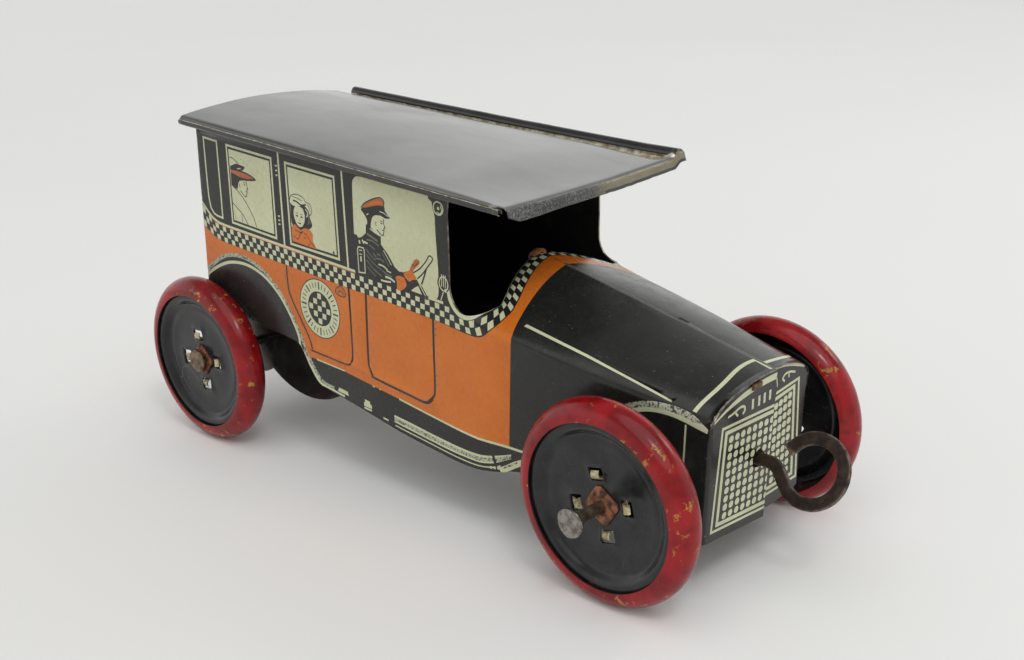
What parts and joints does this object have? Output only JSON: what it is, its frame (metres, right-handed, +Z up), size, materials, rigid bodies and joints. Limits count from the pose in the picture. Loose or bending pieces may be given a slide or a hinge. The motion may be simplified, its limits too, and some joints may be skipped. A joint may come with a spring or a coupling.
{
  "type": "wind-up tin toy taxi",
  "caption": "Lithographed tin clockwork taxi with an open front cab, arched roof, dished wheels on nail-headed axles and a ring-shaped starting crank.",
  "frame": {"origin": "centre of the whole toy's footprint box, at ground level, standing on its four wheels", "axes": "+Z up, the front of the car faces -Y, its right side faces -X"},
  "size_m": [0.0898, 0.233, 0.1052],
  "materials": {
    "litho_tin": "printed and varnished tinplate in orange, black and cream",
    "roof_black": "gloss black, worn at the edges",
    "raw_tin": "bare tinplate, tarnished brown",
    "wheel_black": "satin black",
    "tyre_red": "gloss red, chipped to ochre",
    "hub_rusty": "rusty",
    "axle_steel": "dull, hammered heads",
    "motor_black": "black",
    "bright_steel": "turned",
    "spring_steel": "blued",
    "gear_brass": "stamped",
    "crank_iron": "dark brown oxide"
  },
  "bodies": {
    "body": {"right_body_half": "litho_tin", "left_body_half": "litho_tin", "roof": "roof_black", "chassis_floor": "raw_tin", "hood_tab": "raw_tin", "grille_tab": "raw_tin", "front_axle_bracket": "raw_tin", "crank_bracket": "raw_tin", "motor_plate_right": "motor_black", "motor_plate_left": "motor_black", "motor_front_plate": "motor_black", "motor_pillars": "bright_steel", "motor_fixing_tabs": "motor_black", "mainspring": "spring_steel"},
    "front_axle": {"front_axle": "axle_steel"},
    "front_wheel_right": {"front_right_tyre": "tyre_red", "front_right_disc": "wheel_black", "front_right_hub": "hub_rusty"},
    "front_wheel_left": {"front_left_tyre": "tyre_red", "front_left_disc": "wheel_black", "front_left_hub": "hub_rusty"},
    "rear_wheels": {"rear_axle": "axle_steel", "axle_pinion": "gear_brass", "rear_right_tyre": "tyre_red", "rear_right_disc": "wheel_black", "rear_right_hub": "hub_rusty", "rear_left_tyre": "tyre_red", "rear_left_disc": "wheel_black", "rear_left_hub": "hub_rusty"},
    "arbor": {"arbor": "bright_steel", "ratchet_wheel": "gear_brass", "contrate_wheel": "gear_brass"},
    "great_wheel": {"great_wheel": "gear_brass", "click_stud": "bright_steel", "click_spring": "spring_steel"},
    "click": {"click": "bright_steel"},
    "second_arbor": {"second_arbor": "bright_steel", "second_pinion": "gear_brass", "second_wheel": "gear_brass"},
    "crank": {"crank_handle": "crank_iron", "crank_collar": "bright_steel", "crank_shaft": "bright_steel", "crank_pinion": "gear_brass"}
  },
  "joints": [
    {"name": "front_axle_slide", "type": "slide", "parent": "body", "child": "front_axle", "axis": [1, 0, 0], "range_m": [0, 0.0092]},
    {"name": "front_wheel_right_spin", "type": "hinge", "parent": "body", "child": "front_wheel_right", "pos_m": [-0.03075, -0.07299, 0.0265], "axis": [1, 0, 0], "continuous": true},
    {"name": "front_wheel_left_spin", "type": "hinge", "parent": "body", "child": "front_wheel_left", "pos_m": [0.04025, -0.07299, 0.0265], "axis": [1, 0, 0], "continuous": true},
    {"name": "rear_axle_spin", "type": "hinge", "parent": "body", "child": "rear_wheels", "pos_m": [0.00475, 0.09001, 0.0265], "axis": [1, 0, 0], "continuous": true},
    {"name": "second_arbor_spin", "type": "hinge", "parent": "body", "child": "second_arbor", "pos_m": [0.00475, 0.07874, 0.03594], "axis": [1, 0, 0], "continuous": true},
    {"name": "great_wheel_spin", "type": "hinge", "parent": "body", "child": "great_wheel", "pos_m": [0.00475, 0.06123, 0.0303], "axis": [1, 0, 0], "continuous": true},
    {"name": "click_lift", "type": "hinge", "parent": "great_wheel", "child": "click", "pos_m": [0.01565, 0.06219, 0.03945], "axis": [1, 0, 0], "range_deg": [0, 15], "stiffness_Nm_per_rad": 0.0002, "springref_deg": -9.74},
    {"name": "crank_turn", "type": "hinge", "parent": "body", "child": "crank", "pos_m": [0.00475, -0.09161, 0.0303], "axis": [0, 1, 0], "continuous": true},
    {"name": "arbor_spin", "type": "hinge", "parent": "body", "child": "arbor", "pos_m": [0.00475, 0.06123, 0.0303], "axis": [1, 0, 0], "continuous": true}
  ],
  "couplings": [
    {"joint": "second_arbor_spin", "follows": "rear_axle_spin", "ratio": -0.4},
    {"joint": "great_wheel_spin", "follows": "rear_axle_spin", "ratio": 0.11111},
    {"joint": "arbor_spin", "follows": "crank_turn", "ratio": 0.32}
  ]
}
